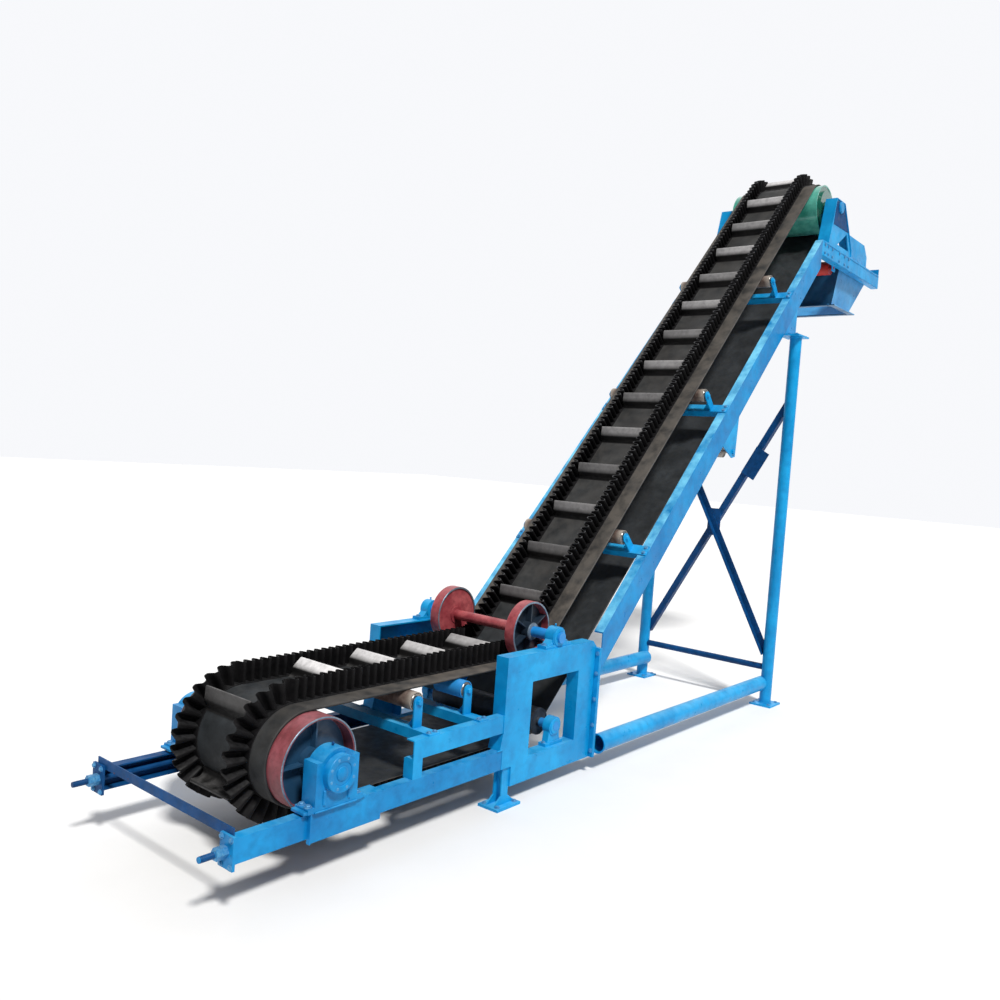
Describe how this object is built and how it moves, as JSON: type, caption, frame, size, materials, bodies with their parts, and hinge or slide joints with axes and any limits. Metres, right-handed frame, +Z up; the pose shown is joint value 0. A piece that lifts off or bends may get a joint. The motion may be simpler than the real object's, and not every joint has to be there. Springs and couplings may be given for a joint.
{
  "type": "corrugated sidewall belt conveyor",
  "caption": "L-shaped inclined belt conveyor: rubber belt with wavy sidewalls and cleats, drums, press wheels and rollers that turn, blue steel frame on fixed feet",
  "frame": {"origin": "centre of the bounding box on the floor", "axes": "+X along the belt from the tail to the discharge, +Y to the far side, +Z up"},
  "size_m": [6.95, 1.28, 4.3882],
  "materials": {
    "blue_steel": "worn sky-blue enamel on rolled steel",
    "red_steel": "dull oxide-red primer",
    "green_steel": "glossy green enamel",
    "bare_roller": "lightly rusted steel tube",
    "rubber": "dusty vulcanised rubber"
  },
  "bodies": {
    "frame": {"belt_band": "rubber", "belt_wall_upper": "rubber", "belt_wall_lower": "rubber", "belt_cleats": "rubber", "lower_beam_near": "blue_steel", "lower_beam_far": "blue_steel", "tail_cross_bar": "blue_steel", "take_up_near": "blue_steel", "take_up_far": "blue_steel", "tail_saddle_near": "blue_steel", "tail_saddle_far": "blue_steel", "tail_bearing_near": "blue_steel", "tail_bearing_far": "blue_steel", "upper_rail_near": "blue_steel", "upper_rail_far": "blue_steel", "level_idler_frames": "blue_steel", "bend_frame_near": "blue_steel", "bend_frame_far": "blue_steel", "front_foot_near": "blue_steel", "front_foot_far": "blue_steel", "press_bearing_near": "blue_steel", "press_bearing_far": "blue_steel", "bend_bearing_near": "blue_steel", "bend_bearing_far": "blue_steel", "foot_post_near": "blue_steel", "foot_post_far": "blue_steel", "floor_tubes": "blue_steel", "side_rail_near": "blue_steel", "side_rail_far": "blue_steel", "steep_idler_frames": "blue_steel", "return_hanger": "blue_steel", "leg_near": "blue_steel", "leg_far": "blue_steel", "low_brace": "blue_steel", "cross_brace": "blue_steel", "head_bracket_near": "blue_steel", "head_bracket_far": "blue_steel", "side_arm_near": "blue_steel", "side_arm_far": "blue_steel", "arm_tie": "blue_steel", "cheek_near": "blue_steel", "cheek_far": "blue_steel", "hopper": "blue_steel"},
    "head_drum": {"head_drum": "green_steel"},
    "tail_drum": {"tail_drum": "red_steel"},
    "press_wheels": {"press_wheels": "red_steel"},
    "bend_drum": {"bend_drum": "bare_roller"},
    "level_idler_1": {"level_idler_1": "bare_roller"},
    "level_idler_2": {"level_idler_2": "bare_roller"},
    "steep_idler_1": {"steep_idler_1": "bare_roller"},
    "steep_idler_2": {"steep_idler_2": "bare_roller"},
    "steep_idler_3": {"steep_idler_3": "bare_roller"},
    "return_roller": {"return_roller": "bare_roller"},
    "under_roller": {"under_roller": "red_steel"}
  },
  "joints": [
    {"name": "head_drum_spin", "type": "hinge", "parent": "frame", "child": "head_drum", "pos_m": [2.33504, 0, 4.07414], "axis": [0, 1, 0], "continuous": true},
    {"name": "tail_drum_spin", "type": "hinge", "parent": "frame", "child": "tail_drum", "pos_m": [-2.87504, 0, 0.458], "axis": [0, 1, 0], "continuous": true},
    {"name": "press_wheels_spin", "type": "hinge", "parent": "frame", "child": "press_wheels", "pos_m": [-1.3173, 0, 0.8356], "axis": [0, 1, 0], "continuous": true},
    {"name": "bend_drum_spin", "type": "hinge", "parent": "frame", "child": "bend_drum", "pos_m": [-1.27504, 0, 0.333], "axis": [0, 1, 0], "continuous": true},
    {"name": "level_idler_1_spin", "type": "hinge", "parent": "frame", "child": "level_idler_1", "pos_m": [-2.27504, 0, 0.6135], "axis": [0, 1, 0], "continuous": true},
    {"name": "level_idler_2_spin", "type": "hinge", "parent": "frame", "child": "level_idler_2", "pos_m": [-1.92004, 0, 0.6135], "axis": [0, 1, 0], "continuous": true},
    {"name": "steep_idler_1_spin", "type": "hinge", "parent": "frame", "child": "steep_idler_1", "pos_m": [-0.51516, 0, 1.34652], "axis": [0, 1, 0], "continuous": true},
    {"name": "steep_idler_2_spin", "type": "hinge", "parent": "frame", "child": "steep_idler_2", "pos_m": [0.41916, 0, 2.31403], "axis": [0, 1, 0], "continuous": true},
    {"name": "steep_idler_3_spin", "type": "hinge", "parent": "frame", "child": "steep_idler_3", "pos_m": [1.35347, 0, 3.28154], "axis": [0, 1, 0], "continuous": true},
    {"name": "return_roller_spin", "type": "hinge", "parent": "frame", "child": "return_roller", "pos_m": [0.68506, 0, 1.94167], "axis": [0, 1, 0], "continuous": true},
    {"name": "under_roller_spin", "type": "hinge", "parent": "frame", "child": "under_roller", "pos_m": [2.45504, 0, 3.60509], "axis": [0, 1, 0], "continuous": true}
  ],
  "couplings": [
    {"joint": "tail_drum_spin", "follows": "head_drum_spin", "ratio": 1},
    {"joint": "press_wheels_spin", "follows": "head_drum_spin", "ratio": -1.2121},
    {"joint": "bend_drum_spin", "follows": "head_drum_spin", "ratio": 2.6667},
    {"joint": "level_idler_1_spin", "follows": "head_drum_spin", "ratio": 4.4944},
    {"joint": "level_idler_2_spin", "follows": "head_drum_spin", "ratio": 4.4944},
    {"joint": "steep_idler_1_spin", "follows": "head_drum_spin", "ratio": 4.4944},
    {"joint": "steep_idler_2_spin", "follows": "head_drum_spin", "ratio": 4.4944},
    {"joint": "steep_idler_3_spin", "follows": "head_drum_spin", "ratio": 4.4944},
    {"joint": "return_roller_spin", "follows": "head_drum_spin", "ratio": -4.4944}
  ]
}
